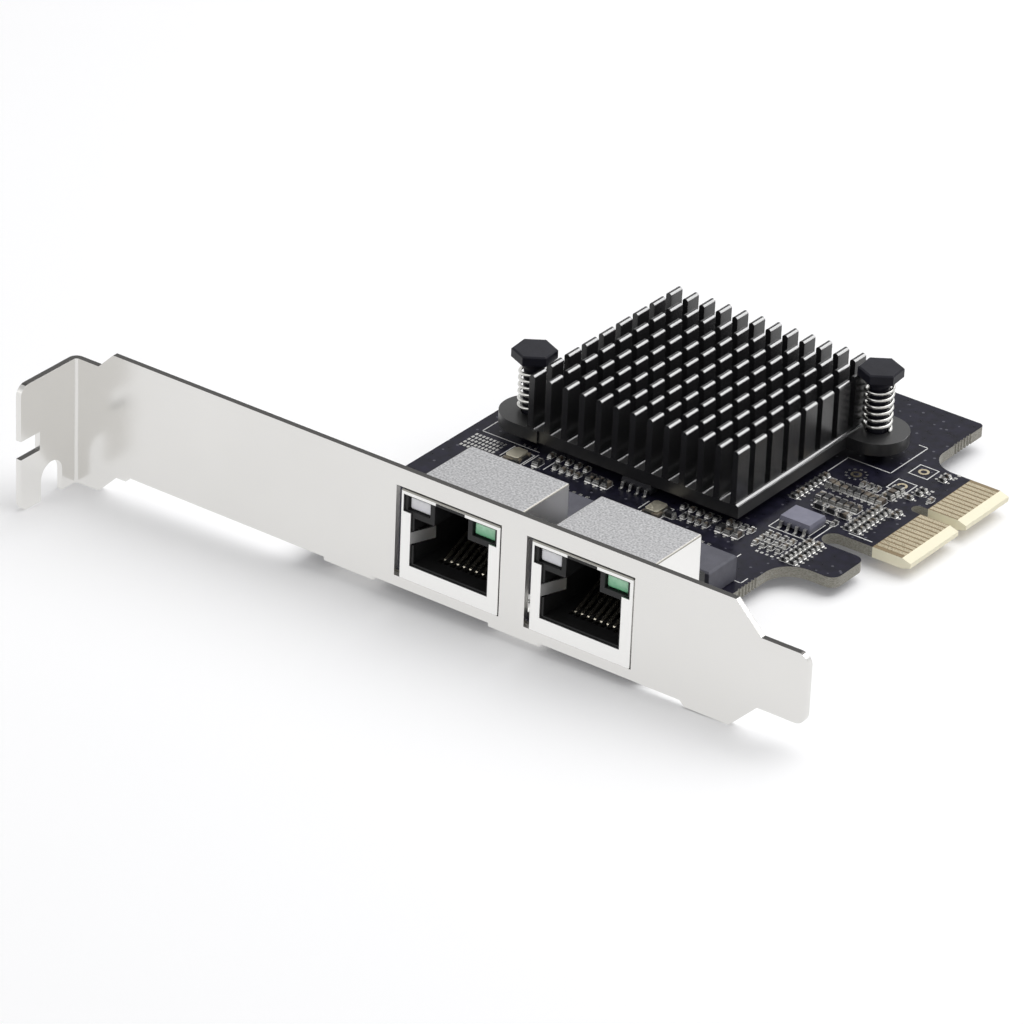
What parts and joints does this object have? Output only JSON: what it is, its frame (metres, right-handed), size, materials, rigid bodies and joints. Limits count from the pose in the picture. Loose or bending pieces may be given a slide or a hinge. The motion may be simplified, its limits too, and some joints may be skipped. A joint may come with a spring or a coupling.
{
  "type": "network interface card",
  "caption": "Network interface card with a folded slot bracket, shielded network sockets with lights, a pin fin heat sink on sprung pins and a keyed edge connector.",
  "frame": {"origin": "centre of the screw slot in the bracket's flange, on the flange's outer surface", "axes": "+X along the bracket from the flange to its tip, +Y from the bracket's face back over the board, +Z out of the board's component side"},
  "size_m": [0.12, 0.0969, 0.0216],
  "materials": {
    "nickel_plated_sheet": "bright nickel plated",
    "bright_steel": "zinc plated",
    "satin_nickel": "satin nickel plated",
    "spring_steel": "polished",
    "board_laminate": "satin black mask",
    "gold_plating": "gold plated",
    "tinned_leads": "bright tin",
    "moulded_resin": "fine matt",
    "soft_pad": "matt",
    "black_anodised": "black anodised",
    "ceramic": "matt",
    "socket_plastic": "matt",
    "clear_light": "clear",
    "green_light": "tinted",
    "pin_plastic": "satin"
  },
  "bodies": {
    "root": {"bracket": "nickel_plated_sheet", "bracket_screws": "bright_steel", "circuit_board": "board_laminate", "edge_contacts_top": "gold_plating", "edge_contacts_bottom": "gold_plating", "plated_rings": "gold_plating", "controller_chip": "moulded_resin", "thermal_pad": "soft_pad", "heat_sink": "black_anodised", "line_transformers": "moulded_resin", "transformer_leads": "tinned_leads", "memory_chip": "moulded_resin", "memory_chip_leads": "tinned_leads", "power_chip": "moulded_resin", "power_chip_leads": "tinned_leads", "crystal_bases": "ceramic", "crystal_lids": "tinned_leads", "passive_bodies": "ceramic", "passive_terminals": "tinned_leads", "left_port_shield": "satin_nickel", "left_port_insert": "socket_plastic", "left_port_contacts": "gold_plating", "left_port_clear_light": "clear_light", "left_port_green_light": "green_light", "left_push_pin": "pin_plastic", "left_pin_spring": "spring_steel", "right_port_shield": "satin_nickel", "right_port_insert": "socket_plastic", "right_port_contacts": "gold_plating", "right_port_clear_light": "clear_light", "right_port_green_light": "green_light", "right_push_pin": "pin_plastic", "right_pin_spring": "spring_steel"}
  },
  "joints": []
}
